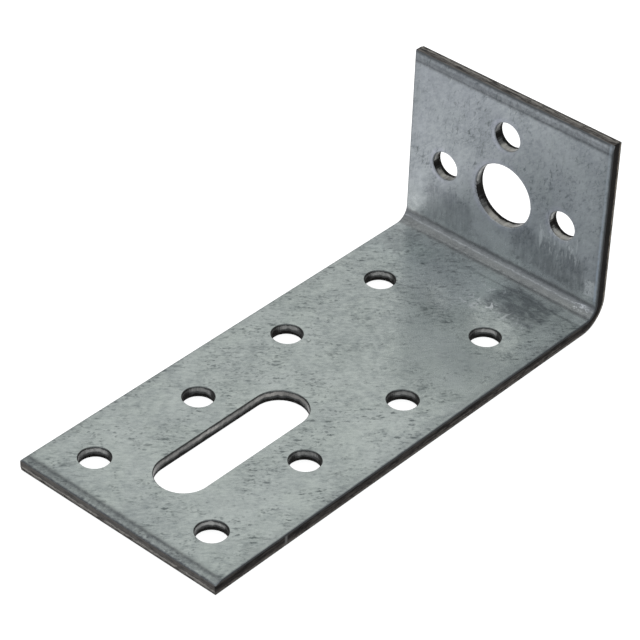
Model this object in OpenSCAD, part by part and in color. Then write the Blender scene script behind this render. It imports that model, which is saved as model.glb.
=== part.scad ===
// Angle bracket: one strip of zinc coated sheet steel, pierced flat and then
// folded once. The long leg lies flat, the short leg stands up at the heel.

/* [Sheet] */
// Thickness of the sheet
sheet_t = 2.0; // [1.2:0.1:3]
// Width of the strip
width = 40; // [34:0.5:60]
// Inside radius of the fold
inside_r = 2.3; // [1:0.1:4]
// Outside radius of the fold, larger than the inside one and the sheet need,
// because the punch thins the sheet there
outside_r = 5.0; // [4:0.1:6]

/* [Legs] */
// Length of the flat leg, from the back of the upright to the free end
long_leg = 90; // [84:0.5:140]
// Height of the upright, from the underside
upright_h = 34.5; // [32:0.5:60]

/* [Screw holes] */
// Diameter of every screw hole
screw_d = 5.0; // [3:0.1:6]
// How far all the piercing sits to one side of the strip's middle
pierce_shift = -0.4; // [-1:0.1:1]
// From the free end to the first pair of holes
first_row = 8.0; // [5.5:0.1:12]
// Step from one pair of holes to the next
row_step = 21.2; // [14:0.1:23]
// Number of pairs along the flat leg
row_count = 4; // [2:1:4]
// Spacing of the wide pairs: the first, the third and so on
wide_pair = 24.0; // [22:0.1:27]
// Spacing of the narrow pairs between them
narrow_pair = 22.0; // [20:0.1:27]

/* [Slot] */
// Width of the slot
slot_w = 9.0; // [5:0.1:12]
// Length of the slot over its round ends
slot_len = 30.1; // [15:0.1:50]
// From the free end to the slot
slot_margin = 10.1; // [4:0.1:16]

/* [Upright holes] */
// Diameter of the middle hole
middle_d = 11.2; // [6:0.1:14]
// Height of the middle hole and of the two screw holes beside it
middle_h = 15.6; // [14:0.1:16]
// Spacing of the two screw holes beside the middle hole
side_pair = 24.1; // [21.5:0.1:27]
// Height of the top screw hole
top_hole_h = 26.8; // [25.5:0.1:28]

/* [Cut edges] */
// Radius of the rolled rim where the punch went in
hole_roll = 0.25; // [0.1:0.05:0.4]
// Depth of the torn zone where the slug broke out
tear_depth = 0.6; // [0.2:0.05:0.7]
// How much wider the torn zone is at its mouth
tear_flare = 0.1; // [0.02:0.01:0.2]
// Radius of the rolled arris along the slit edges
arris_roll = 0.3; // [0.1:0.05:0.5]
// Width of the pulled-down band at the two sheared ends
shear_band = 1.4; // [0.6:0.1:2]
// Radius of the curve of that band
shear_roll = 8.0; // [6:0.5:16]

/* [Hidden] */

// Fine enough for a smooth preview
$fn = 96;
// How far the cutters reach past the sheet
past = 1.0;
// The same for the cutters that follow the fold, where the inside is tight
arris_reach = 0.5;
// Angle at which each rolled surface meets the flat face
roll_entry_angle = 20;
band_entry_angle = 4;

inside_centre = sheet_t + inside_r;
row_x = [for (i = [0 : row_count - 1]) long_leg - first_row - i * row_step];
slot_r = slot_w / 2;
slot_far_x = long_leg - slot_margin - slot_r;
slot_near_x = long_leg - slot_margin - slot_len + slot_r;
roll_depth = hole_roll * cos(roll_entry_angle);
arris_depth = arris_roll * cos(roll_entry_angle);
band_offset = shear_roll * sin(band_entry_angle);
band_centre_depth = shear_roll * cos(band_entry_angle);

// Side view of the folded strip: X along the flat leg, Y up. Both corners of the
// fold are round, each about its own centre.
module strip_profile() {
    difference() {
        square([long_leg, upright_h]);
        heel_corner(0, outside_r);
        difference() {
            translate([sheet_t, sheet_t])
                square([long_leg, upright_h]);
            heel_corner(sheet_t, inside_r);
        }
    }
}

// The sharp bit of a corner at (at, at) that a round of radius r leaves over.
module heel_corner(at, r) {
    difference() {
        translate([at, at])
            square(r);
        translate([at + r, at + r])
            circle(r);
    }
}

module folded_strip() {
    rotate([90, 0, 0])
        linear_extrude(width, center = true)
            strip_profile();
}

// Carries a cutter's section along one face of the strip: the flat leg, the fold
// and the upright. The section's X is the depth from the outer face, its Y runs
// across the strip. The fold's part turns about (centre, centre).
module along_strip(centre) {
    translate([long_leg + past, 0, 0])
        rotate([0, -90, 0])
            linear_extrude(long_leg + past - centre)
                children();
    translate([0, 0, centre])
        linear_extrude(upright_h + past - centre)
            children();
    translate([centre, 0, centre])
        rotate([90, 0, 0])
            rotate([0, 0, 180])
                rotate_extrude(angle = 90)
                    translate([centre, 0])
                        mirror([1, 0])
                            children();
}

// What the slitting rolls off the inner arris at +Y.
module rolled_arris_section() {
    translate([sheet_t - arris_depth, width / 2 - arris_roll])
        difference() {
            square([arris_depth + arris_reach, arris_roll + past]);
            circle(arris_roll);
        }
}

// What breaks away from the outer arris at +Y.
module torn_arris_section() {
    polygon([
        [-arris_reach, width / 2 - tear_flare - tear_flare * arris_reach / tear_depth],
        [tear_depth, width / 2],
        [tear_depth, width / 2 + past],
        [-arris_reach, width / 2 + past]
    ]);
}

// Mirrors a section across the strip, so that both slit edges are cut.
module both_edges() {
    children();
    mirror([0, 1])
        children();
}

module slit_edges() {
    along_strip(inside_centre)
        both_edges()
            rolled_arris_section();
    along_strip(outside_r)
        both_edges()
            torn_arris_section();
}

// What a shear takes off an end, seen along the cut. X points out past the end,
// Y is the depth from the outer face. The inner side is pulled down in a long
// curve and the outer side is torn back.
module end_trim_profile() {
    difference() {
        translate([-shear_band, sheet_t - shear_roll / 2])
            square([shear_band + past, shear_roll / 2 + past]);
        translate([-shear_band - band_offset, sheet_t - band_centre_depth])
            circle(shear_roll);
    }
    polygon([
        [-tear_flare - tear_flare * past / tear_depth, -past],
        [0, tear_depth],
        [past, tear_depth],
        [past, -past]
    ]);
}

// Carries that profile across the width of an end.
module end_trim() {
    rotate([90, 0, 0])
        linear_extrude(width + 2 * past, center = true)
            end_trim_profile();
}

// Half profile of a pierced hole of radius r, from the outer face at Y = 0 to
// the inner one: torn mouth, straight wall, rolled rim.
module pierced_half(r) {
    polygon([
        [0, -past],
        [r + tear_flare + tear_flare * past / tear_depth, -past],
        [r, tear_depth],
        [r, sheet_t - roll_depth],
        [0, sheet_t - roll_depth]
    ]);
    difference() {
        translate([0, sheet_t - roll_depth])
            square([r + hole_roll, roll_depth + past]);
        translate([r + hole_roll, sheet_t - roll_depth])
            circle(hole_roll);
    }
}

// A round hole pierced along +Z, with its rolled rim at the top.
module pierced_hole(r) {
    rotate_extrude()
        pierced_half(r);
}

// A slot pierced along +Z between two centres on the X axis.
module pierced_slot(r, near_x, far_x) {
    translate([near_x, 0, 0])
        rotate([0, 0, 90])
            rotate_extrude(angle = 180)
                pierced_half(r);
    translate([far_x, 0, 0])
        rotate([0, 0, -90])
            rotate_extrude(angle = 180)
                pierced_half(r);
    translate([near_x, 0, 0])
        rotate([90, 0, 90])
            linear_extrude(far_x - near_x) {
                pierced_half(r);
                mirror([1, 0])
                    pierced_half(r);
            }
}

// Turns a hole that is pierced along +Z so that it goes through the upright.
module in_upright(y, z) {
    translate([0, y, z])
        rotate([0, 90, 0])
            children();
}

module flat_leg_holes() {
    for (i = [0 : row_count - 1])
        for (side = [-1, 1])
            translate([row_x[i], pierce_shift + side * pair_spacing(i) / 2, 0])
                pierced_hole(screw_d / 2);
}

function pair_spacing(i) = i % 2 == 0 ? wide_pair : narrow_pair;

module upright_holes() {
    in_upright(pierce_shift, middle_h)
        pierced_hole(middle_d / 2);
    for (side = [-1, 1])
        in_upright(pierce_shift + side * side_pair / 2, middle_h)
            pierced_hole(screw_d / 2);
    in_upright(pierce_shift, top_hole_h)
        pierced_hole(screw_d / 2);
}

// The whole bracket, moved so that the origin lies under its middle.
module bracket() {
    color([0.66, 0.69, 0.68])
        translate([-long_leg / 2, 0, 0])
            difference() {
                folded_strip();
                slit_edges();
                translate([long_leg, 0, 0])
                    end_trim();
                translate([0, 0, upright_h])
                    rotate([0, -90, 0])
                        mirror([0, 0, 1])
                            end_trim();
                flat_leg_holes();
                translate([0, pierce_shift, 0])
                    pierced_slot(slot_r, slot_near_x, slot_far_x);
                upright_holes();
            }
}

bracket();
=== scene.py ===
"""Looks of a folded angle bracket: its zinc coat, dark cut edges, studio light and the photograph's view."""

from __future__ import annotations

import logging
import math
from dataclasses import dataclass
from enum import Enum
from typing import Optional, Sequence, Union

import bpy
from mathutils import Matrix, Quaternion, Vector


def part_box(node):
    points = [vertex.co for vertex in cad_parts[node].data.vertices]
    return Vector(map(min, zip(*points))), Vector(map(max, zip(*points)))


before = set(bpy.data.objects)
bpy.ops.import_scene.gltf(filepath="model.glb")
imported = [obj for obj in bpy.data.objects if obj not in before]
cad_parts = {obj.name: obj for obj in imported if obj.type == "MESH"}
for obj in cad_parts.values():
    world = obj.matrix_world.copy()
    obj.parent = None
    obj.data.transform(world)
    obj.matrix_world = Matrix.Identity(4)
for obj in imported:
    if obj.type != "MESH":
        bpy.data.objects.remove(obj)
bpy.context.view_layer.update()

MM = 0.001
LOG = logging.getLogger("angle_bracket")

Socket = bpy.types.NodeSocket
Feed = Union[Socket, float, int, Sequence[float]]
Colour = tuple[float, float, float]
Triple = tuple[float, float, float]
Pair = tuple[float, float]
Span = tuple[float, float]


class Sort(Enum):
    """What a group's socket carries."""

    NUMBER = "NodeSocketFloat"
    COLOUR = "NodeSocketColor"
    VECTOR = "NodeSocketVector"


class Sum(Enum):
    """A sum that one node does on numbers or on vectors."""

    PLUS = "ADD"
    LESS = "SUBTRACT"
    TIMES = "MULTIPLY"
    OVER = "DIVIDE"
    LARGER = "MAXIMUM"
    SMALLER = "MINIMUM"
    SIZE = "ABSOLUTE"
    ROOT = "SQRT"
    DOT = "DOT_PRODUCT"
    APART = "DISTANCE"


class Blend(Enum):
    """How one colour is laid over another."""

    COVER = "MIX"
    TINT = "MULTIPLY"


@dataclass(frozen=True)
class Fade:
    """A smooth change from one answer to another, as what is read rises from low to high."""

    low: float
    high: float
    before: float = 0.0
    after: float = 1.0


@dataclass(frozen=True)
class Band:
    """A marked span, and how softly it ends."""

    low: float
    high: float
    soft: float


@dataclass(frozen=True)
class Line:
    """A marked line: its middle, and how far from there it has faded out."""

    centre: float
    half: float


@dataclass(frozen=True)
class Lay:
    """How a pattern lies on the sheet: its angle, and how tightly it is drawn each way."""

    along: float
    across: float
    degrees: float = 0.0
    deep: float = 1.0


@dataclass(frozen=True)
class Waves:
    """Soft noise: waves for each millimetre, finer layers and their strength, bend and lay."""

    scale: float
    detail: float
    rough: float = 0.5
    bend: float = 0.0
    lay: Optional[Lay] = None


@dataclass(frozen=True)
class Patches:
    """A mask made of soft noise that is read through a fade."""

    waves: Waves
    fade: Fade


@dataclass(frozen=True)
class Spots:
    """Round spots, one at most in each cell. Radii are in cells, and below 0 leaves a cell empty."""

    scale: float
    small: float
    large: float
    soft: float


class Graph:
    """Short ways to add and join the nodes of one node tree."""

    def __init__(self, tree: bpy.types.NodeTree) -> None:
        """Keep the tree that the nodes go into."""
        self.tree = tree

    def node(self, kind: str, **settings: object) -> bpy.types.Node:
        """Add a node.

        Args:
            kind: Blender's name for the node's class, without the leading word ShaderNode.
            settings: attributes to set on the node.

        Returns:
            The new node.
        """
        made = self.tree.nodes.new("ShaderNode" + kind)
        for name, value in settings.items():
            setattr(made, name, value)
        return made

    def feed(self, socket: Socket, value: Feed) -> None:
        """Link a socket, or set its value.

        Args:
            socket: the input that takes the value.
            value: another socket, a number or a tuple.
        """
        if isinstance(value, bpy.types.NodeSocket):
            self.tree.links.new(value, socket)
        elif socket.type == "RGBA" and len(value) == 3:
            socket.default_value = (*value, 1.0)
        else:
            socket.default_value = value

    def feed_all(self, node: bpy.types.Node, fed: dict[str, Feed]) -> None:
        """Feed a node's inputs by name."""
        for name, value in fed.items():
            self.feed(node.inputs[name], value)

    def numbers(self, how: Sum, a: Feed, b: Feed = 0.0) -> Socket:
        """Do one sum on numbers.

        Args:
            how: the sum.
            a: first number.
            b: second number.

        Returns:
            The answer's socket.
        """
        made = self.node("Math", operation=how.value)
        self.feed(made.inputs[0], a)
        self.feed(made.inputs[1], b)
        return made.outputs[0]

    def plus(self, a: Feed, b: Feed) -> Socket:
        """Add two numbers."""
        return self.numbers(Sum.PLUS, a, b)

    def less(self, a: Feed, b: Feed) -> Socket:
        """Take the second number from the first."""
        return self.numbers(Sum.LESS, a, b)

    def larger(self, a: Feed, b: Feed) -> Socket:
        """Keep the larger of two numbers."""
        return self.numbers(Sum.LARGER, a, b)

    def smaller(self, a: Feed, b: Feed) -> Socket:
        """Keep the smaller of two numbers."""
        return self.numbers(Sum.SMALLER, a, b)

    def size(self, value: Feed) -> Socket:
        """Drop a number's sign."""
        return self.numbers(Sum.SIZE, value)

    def rest(self, share: Feed) -> Socket:
        """Give what a share leaves of 1."""
        return self.less(1.0, share)

    def total(self, *parts: tuple[Feed, float]) -> Socket:
        """Add up numbers, each times its own share.

        Args:
            parts: each number with its share.

        Returns:
            The answer's socket.
        """
        answer: Feed = 0.0
        for value, share in parts:
            answer = self.plus(answer, self.numbers(Sum.TIMES, value, share))
        return answer

    def product(self, *parts: Feed) -> Socket:
        """Multiply numbers together.

        Args:
            parts: the numbers.

        Returns:
            The answer's socket.
        """
        answer: Feed = 1.0
        for value in parts:
            answer = self.numbers(Sum.TIMES, answer, value)
        return answer

    def shaken(self, value: Feed, shake: Feed, reach: float) -> Socket:
        """Move a number to and fro, by noise about 0 times a reach."""
        return self.total((value, 1.0), (shake, reach))

    def combine(self, x: Feed, y: Feed, z: Feed) -> Socket:
        """Join three numbers into a vector.

        Args:
            x: first number.
            y: second number.
            z: third number.

        Returns:
            The vector's socket.
        """
        made = self.node("CombineXYZ")
        for socket, value in zip(made.inputs, (x, y, z)):
            self.feed(socket, value)
        return made.outputs[0]

    def split(self, vector: Feed) -> tuple[Socket, Socket, Socket]:
        """Part a vector into its numbers.

        Args:
            vector: the vector.

        Returns:
            The three numbers' sockets.
        """
        made = self.node("SeparateXYZ")
        self.feed(made.inputs[0], vector)
        return made.outputs[0], made.outputs[1], made.outputs[2]

    def vectors(self, how: Sum, a: Feed, b: Feed) -> bpy.types.Node:
        """Do one sum on vectors.

        Args:
            how: the sum.
            a: first vector.
            b: second vector.

        Returns:
            The sum's node, whose answer is its first output or the one called Value.
        """
        made = self.node("VectorMath", operation=how.value)
        self.feed(made.inputs[0], a)
        self.feed(made.inputs[1], b)
        return made

    def dot(self, a: Feed, b: Feed) -> Socket:
        """Say how far one vector goes the other one's way."""
        return self.vectors(Sum.DOT, a, b).outputs["Value"]

    def scaled(self, vector: Feed, by: Triple) -> Socket:
        """Multiply a vector by another, number by number."""
        return self.vectors(Sum.TIMES, vector, by).outputs[0]

    def laid(self, vector: Feed, lay: Lay) -> Socket:
        """Turn and draw out a place, so that a pattern read there gets its lay.

        Args:
            vector: the place.
            lay: the pattern's lay. An angle of 0 turns nothing.

        Returns:
            The place to read the pattern at.
        """
        if lay.degrees:
            made = self.node("VectorRotate", rotation_type="Z_AXIS")
            self.feed_all(made, {"Vector": vector, "Angle": math.radians(lay.degrees)})
            vector = made.outputs[0]
        return self.scaled(vector, (lay.along, lay.across, lay.deep))

    def texture(self, vector: Feed, waves: Waves) -> bpy.types.Node:
        """Add soft noise.

        Args:
            vector: where it is read.
            waves: how it looks.

        Returns:
            The noise's node, with a number about 0.5 and a colour.
        """
        made = self.node("TexNoise")
        place = self.laid(vector, waves.lay) if waves.lay else vector
        self.feed_all(made, {"Vector": place, "Scale": waves.scale, "Detail": waves.detail})
        self.feed_all(made, {"Roughness": waves.rough, "Distortion": waves.bend})
        return made

    def noise(self, vector: Feed, waves: Waves) -> Socket:
        """Read soft noise about 0.5."""
        return self.texture(vector, waves).outputs[0]

    def centred(self, noise: Feed) -> Socket:
        """Bring noise about 0.5 to noise about 0."""
        return self.less(noise, 0.5)

    def patches(self, vector: Feed, patches: Patches) -> Socket:
        """Read a patchy mask."""
        return self.fade(self.noise(vector, patches.waves), patches.fade)

    def spots(self, vector: Feed, spots: Spots) -> Socket:
        """Scatter round spots.

        Args:
            vector: where they are read. Only its first two numbers count.
            spots: their sizes.

        Returns:
            A mask that is 1 inside the spots.
        """
        made = self.node("TexVoronoi", voronoi_dimensions="2D")
        self.feed_all(made, {"Vector": vector, "Scale": spots.scale})
        pick, _, _ = self.split(made.outputs["Color"])
        radius = self.total((pick, spots.large - spots.small), (1.0, spots.small))
        return self.ramp(self.less(made.outputs["Distance"], radius), -spots.soft, 0.0, 1.0, 0.0)

    def ramp(self, value: Feed, low: Feed, high: Feed, before: Feed = 0.0, after: Feed = 1.0) -> Socket:
        """Carry a number smoothly from one range to another.

        Args:
            value: the number.
            low: where the change starts.
            high: where it ends.
            before: the answer at and before the start.
            after: the answer at and past the end.

        Returns:
            The answer's socket.
        """
        made = self.node("MapRange", interpolation_type="SMOOTHSTEP")
        self.feed_all(made, {"Value": value, "From Min": low, "From Max": high})
        self.feed_all(made, {"To Min": before, "To Max": after})
        return made.outputs[0]

    def fade(self, value: Feed, fade: Fade) -> Socket:
        """Read a number through a fade."""
        return self.ramp(value, fade.low, fade.high, fade.before, fade.after)

    def between(self, share: Feed, a: Feed, b: Feed) -> Socket:
        """Carry a number smoothly from a to b, as a share rises from 0 to 1."""
        return self.ramp(share, 0.0, 1.0, a, b)

    def line(self, value: Feed, line: Line) -> Socket:
        """Give a mask that is 1 in the middle of a line and 0 outside it."""
        return self.ramp(self.size(self.less(value, line.centre)), 0.0, line.half, 1.0, 0.0)

    def within(self, value: Feed, band: Band) -> Socket:
        """Mark a band.

        Args:
            value: the number.
            band: the band.

        Returns:
            A mask that is 1 inside the band and fades out past its ends.
        """
        rise = self.ramp(value, band.low - band.soft, band.low + band.soft)
        fall = self.ramp(value, band.high - band.soft, band.high + band.soft, 1.0, 0.0)
        return self.numbers(Sum.TIMES, rise, fall)

    def mix(self, share: Feed, a: Feed, b: Feed, how: Blend = Blend.COVER) -> Socket:
        """Mix two colours.

        Args:
            share: how much of the second is used.
            a: first colour.
            b: second colour.
            how: how the second is laid over the first.

        Returns:
            The mixed colour's socket.
        """
        made = self.node("Mix", data_type="RGBA", blend_type=how.value)
        self.feed(made.inputs[0], share)
        self.feed(made.inputs[6], a)
        self.feed(made.inputs[7], b)
        return made.outputs[2]

    def tinted(self, share: Feed, colour: Feed, tint: Colour) -> Socket:
        """Tint a colour by a share."""
        return self.mix(share, colour, self.mix(1.0, colour, tint, Blend.TINT))

    def use(self, group: bpy.types.NodeTree, **inputs: Feed) -> bpy.types.Node:
        """Place a node group.

        Args:
            group: the group.
            inputs: what feeds each of its inputs.

        Returns:
            The group's node.
        """
        made = self.node("Group", node_tree=group)
        self.feed_all(made, inputs)
        return made


GroupStart = tuple[Graph, dict[str, Socket], bpy.types.Node]


def new_group(name: str, takes: dict[str, Sort], gives: dict[str, Sort]) -> GroupStart:
    """Start a node group.

    Args:
        name: the group's name.
        takes: the name and sort of each input.
        gives: the name and sort of each output.

    Returns:
        The group's graph, its input sockets by name, and the node that its outputs feed.
    """
    tree = bpy.data.node_groups.new(name, "ShaderNodeTree")
    for label, sort in takes.items():
        tree.interface.new_socket(label, in_out="INPUT", socket_type=sort.value)
    for label, sort in gives.items():
        tree.interface.new_socket(label, in_out="OUTPUT", socket_type=sort.value)
    start = tree.nodes.new("NodeGroupInput")
    end = tree.nodes.new("NodeGroupOutput")
    return Graph(tree), {label: start.outputs[label] for label in takes}, end


@dataclass(frozen=True)
class StripShape:
    """Sizes of the folded strip that its finish follows, in millimetres."""

    half_length: float
    height: float
    half_width: float
    sheet: float = 2.0
    inner_shares: Pair = (0.4, 0.6)
    heel_radius: float = 5.0
    torn: float = 0.6
    flank_way: Triple = (-0.65, 0.76, 0.0)

    @classmethod
    def from_frame(cls) -> "StripShape":
        """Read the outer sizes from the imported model."""
        _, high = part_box("bracket")
        return cls(high.x / MM, high.z / MM, high.y / MM)

    def place_group(self) -> bpy.types.NodeTree:
        """Make the group that says where a point is on the strip.

        Place is a vector in millimetres: how far past the heel along the strip,
        how far across it, and how deep from the outer face to the inner one.
        Facing is how squarely the surface faces through the sheet: 0 on cut walls
        and 1 on the faces. Inner is 1 on the inner face and 0 on the outer one.
        End and Side are the distances to the nearest sheared end and slit edge.
        Flank is how far the surface turns to one fixed side.

        Returns:
            The group.
        """
        numbers = ("Facing", "Inner", "End", "Side", "Flank")
        gives = {"Place": Sort.VECTOR, **{name: Sort.NUMBER for name in numbers}}
        g, _, end = new_group("strip_place", {}, gives)
        x, y, z = g.split(g.scaled(g.node("TexCoord").outputs["Object"], (1 / MM, 1 / MM, 1 / MM)))
        out = g.plus(x, self.half_length)
        back = g.larger(g.less(self.heel_radius, out), 0.0)
        down = g.larger(g.less(self.heel_radius, z), 0.0)
        reach = g.numbers(Sum.ROOT, g.plus(g.product(back, back), g.product(down, down)))
        depth = g.less(self.heel_radius, reach)
        through = g.combine(g.numbers(Sum.OVER, back, reach), 0.0, g.numbers(Sum.OVER, down, reach))
        normal = g.node("NewGeometry").outputs["True Normal"]
        low, high = (share * self.sheet for share in self.inner_shares)
        to_free = g.less(self.half_length, x)
        g.feed_all(end, {
            "Place": g.combine(g.less(out, z), y, depth),
            "Facing": g.size(g.dot(through, normal)),
            "Inner": g.ramp(depth, low, high),
            "End": g.smaller(to_free, g.less(self.height, z)),
            "Side": g.less(self.half_width, g.size(y)),
            "Flank": g.dot(normal, self.flank_way),
        })
        return g.tree


@dataclass(frozen=True)
class CoatBase:
    """Places and masks that every mark of the zinc coat is made from."""

    place: Socket
    shaken: Socket
    along: Socket
    across: Socket
    upright: Socket
    cloud: Socket
    mottle: Socket
    grain: Socket
    crowd: Socket
    big: Socket
    fine: Socket


@dataclass(frozen=True)
class ZincFinish:
    """The zinc coat on the sheet's two faces. Lengths are in millimetres on the flat strip."""

    light: Colour = (0.452, 0.498, 0.472)
    dark: Colour = (0.205, 0.235, 0.234)
    fleck: Colour = (0.075, 0.092, 0.094)
    streak: Colour = (0.52, 0.55, 0.54)
    # Bluish tint: a painted bluish cast of light on the upright, and the coat's own tone in random patches.
    cool: Colour = (0.935, 0.895, 0.995)
    heel_cool: Colour = (0.95, 0.967, 1.0)
    metallic: float = 0.54

    # Patterns that the marks are made from
    wander: Waves = Waves(1.6, 2.0)
    wander_reach: Triple = (0.7, 0.7, 0.0)
    cloud: Waves = Waves(0.10, 3.0, 0.55, 0.4)
    mottle: Waves = Waves(0.75, 4.0, 0.65)
    slant: Lay = Lay(0.40, 1.10, 45.0)
    grain: Waves = Waves(2.1, 3.0, 0.75)
    tone_shares: Triple = (0.26, 0.32, 0.42)
    tone_middle: float = 0.5
    tone_dark: Fade = Fade(-0.15, 0.23)

    # Flecks, ripples, wrinkles and scratches
    crowd: Patches = Patches(Waves(0.19, 3.0, 0.6, 0.5), Fade(0.41, 0.58, 0.12, 1.0))
    big: Spots = Spots(1.0, -0.34, 0.36, 0.22)
    big_flecks: float = 0.80
    fine_lay: Lay = Lay(0.62, 1.0, 36.0)
    fine: Spots = Spots(2.1, -0.30, 0.55, 0.34)
    fine_flecks: float = 0.55
    ripple: Patches = Patches(Waves(1.0, 3.0, 0.65, lay=Lay(0.34, 1.70, 49.0)), Fade(0.55, 0.68))
    ripples: float = 0.46
    wrinkle: Waves = Waves(1.0, 2.0, 0.5, 0.6, Lay(0.17, 0.62, 47.0))
    wrinkle_line: Line = Line(0.50, 0.022)
    wrinkle_cloud: Fade = Fade(0.40, 0.62, 0.35, 1.0)
    wrinkles: float = 0.58
    steep: Patches = Patches(Waves(1.0, 2.0, 0.6, lay=Lay(0.07, 2.6, 24.0)), Fade(0.68, 0.76))
    level: Patches = Patches(Waves(1.0, 2.0, 0.6, lay=Lay(0.05, 3.1, -9.0)), Fade(0.67, 0.75))
    scratches: float = 0.35

    # The cooler and more matt upright. Its darker and more bluish colour is painted shade and a painted
    # bluish cast of light.
    upright: Fade = Fade(-9.0, 3.0, 1.0, 0.0)
    upright_painted_cool_light: float = 0.75
    upright_matt: float = 0.13
    upright_calm: float = 0.55
    upright_tone: float = 0.75
    upright_drift: float = 0.10
    upright_painted_shade: float = 0.05
    drift: Waves = Waves(1.0, 3.0, 0.55, lay=Lay(0.12, 0.60))
    cool_patch: Patches = Patches(Waves(0.14, 3.0, 0.6), Fade(0.36, 0.62))
    cool_patches: float = 0.15
    corner_along: Fade = Fade(-29.0, -8.0, 1.0, 0.0)
    corner_across: Fade = Fade(-18.0, 16.0, 1.0, 0.0)
    corner_painted_shade: float = 0.40
    hatch: Patches = Patches(Waves(1.0, 3.0, 0.7, lay=Lay(0.55, 2.2, 8.0)), Fade(0.54, 0.70))
    hatch_crowd: Fade = Fade(0.0, 0.6, 0.35, 1.0)
    hatches: float = 0.70

    # The cooler coat beside the fold
    heel_end: Fade = Fade(6.0, 17.0, 1.0, 0.0)
    heel_start: Fade = Fade(-1.0, 3.0)
    heel_across: Fade = Fade(3.0, 13.0, 1.0, 0.15)
    heel_share: float = 0.75

    # Gloss and relief
    gloss_shares: Pair = (0.6, 0.4)
    gloss: Fade = Fade(0.38, 0.62, 0.17, 0.31)
    fleck_matt: Pair = (0.10, 0.06)
    height_shares: tuple[float, ...] = (0.55, 0.30, -0.16, -0.08, -0.06)

    def group(self) -> bpy.types.NodeTree:
        """Make the coat's mottling, flecks, fine scratches and dimples, with painted shade and a painted
        bluish cast of light on the upright.

        Returns:
            The group.
        """
        gives = {"Color": Sort.COLOUR, "Roughness": Sort.NUMBER, "Height": Sort.NUMBER}
        g, takes, end = new_group("zinc_coat", {"Place": Sort.VECTOR}, gives)
        base = self.base(g, takes["Place"])
        colour = self.flecked(g, base, self.mottled(g, base))
        colour = self.marked(g, base, self.shaded_and_cooled(g, base, colour))
        scratch = g.larger(g.patches(base.place, self.steep), g.patches(base.place, self.level))
        gloss = g.fade(g.total(*zip((base.mottle, base.grain), self.gloss_shares)), self.gloss)
        matt = zip((base.big, base.fine, base.upright), (*self.fleck_matt, self.upright_matt))
        heights = (base.mottle, base.grain, base.big, base.fine, scratch)
        g.feed_all(end, {
            "Color": g.mix(g.product(scratch, self.scratches), colour, self.streak),
            "Roughness": g.total((gloss, 1.0), *matt),
            "Height": g.total(*zip(heights, self.height_shares)),
        })
        return g.tree

    def base(self, g: Graph, place: Socket) -> CoatBase:
        """Read the places and masks that the coat's marks share.

        Args:
            g: the group's graph.
            place: where a point is on the strip.

        Returns:
            The places and masks.
        """
        wander = g.texture(place, self.wander).outputs["Color"]
        shaken = g.vectors(Sum.PLUS, place, g.scaled(wander, self.wander_reach)).outputs[0]
        along, across, _ = g.split(place)
        upright = g.fade(along, self.upright)
        crowd = g.product(g.patches(place, self.crowd), g.between(upright, 1.0, self.upright_calm))
        slant = g.laid(shaken, self.slant)
        return CoatBase(
            place=place,
            shaken=shaken,
            along=along,
            across=across,
            upright=upright,
            cloud=g.noise(place, self.cloud),
            mottle=g.noise(place, self.mottle),
            grain=g.noise(slant, self.grain),
            crowd=crowd,
            big=g.product(g.spots(slant, self.big), crowd),
            fine=g.product(g.spots(g.laid(shaken, self.fine_lay), self.fine), crowd),
        )

    def mottled(self, g: Graph, base: CoatBase) -> Socket:
        """Make the coat's light and dark zinc, calmer and more drifting on the upright.

        Args:
            g: the group's graph.
            base: the coat's shared places and masks.

        Returns:
            The colour.
        """
        noises = zip((base.cloud, base.mottle, base.grain), self.tone_shares)
        tone = g.total(*noises, (1.0, -self.tone_middle))
        tone = g.product(tone, g.between(base.upright, 1.0, self.upright_tone))
        drift = g.centred(g.noise(base.place, self.drift))
        tone = g.plus(tone, g.product(base.upright, drift, self.upright_drift))
        return g.mix(g.fade(tone, self.tone_dark), self.light, self.dark)

    def flecked(self, g: Graph, base: CoatBase, colour: Socket) -> Socket:
        """Lay dark flecks and ripples on the coat.

        Args:
            g: the group's graph.
            base: the coat's shared places and masks.
            colour: the coat's colour.

        Returns:
            The colour with them.
        """
        ripple = g.product(g.patches(base.shaken, self.ripple), base.crowd)
        colour = g.mix(g.product(base.big, self.big_flecks), colour, self.fleck)
        colour = g.mix(g.product(base.fine, self.fine_flecks), colour, self.fleck)
        return g.mix(g.product(ripple, self.ripples), colour, self.fleck)

    def shaded_and_cooled(self, g: Graph, base: CoatBase, colour: Socket) -> Socket:
        """Paint shade on the upright, strongest toward its top at low across, and tint the upright with a
        painted bluish cast of light and the coat beside the fold bluish.

        Args:
            g: the group's graph.
            base: the coat's shared places and masks.
            colour: the coat's colour.

        Returns:
            The colour with the painted shade and the tints.
        """
        # Painted shade: the whole upright darker, and more toward its top at low across.
        shaded_corner = g.product(g.fade(base.along, self.corner_along), g.fade(base.across, self.corner_across))
        shade = g.total((base.upright, self.upright_painted_shade), (shaded_corner, self.corner_painted_shade))
        colour = g.mix(g.product(shade, base.upright), colour, self.dark)
        # Painted bluish cast of light on the upright, with random bluish patches of the coat's own tone.
        patchy = g.patches(base.place, self.cool_patch)
        cool = g.total((base.upright, self.upright_painted_cool_light), (patchy, self.cool_patches))
        colour = g.tinted(cool, colour, self.cool)
        heel = g.product(
            g.fade(base.along, self.heel_end),
            g.fade(base.along, self.heel_start),
            g.fade(base.across, self.heel_across),
        )
        return g.tinted(g.product(heel, self.heel_share), colour, self.heel_cool)

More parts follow.
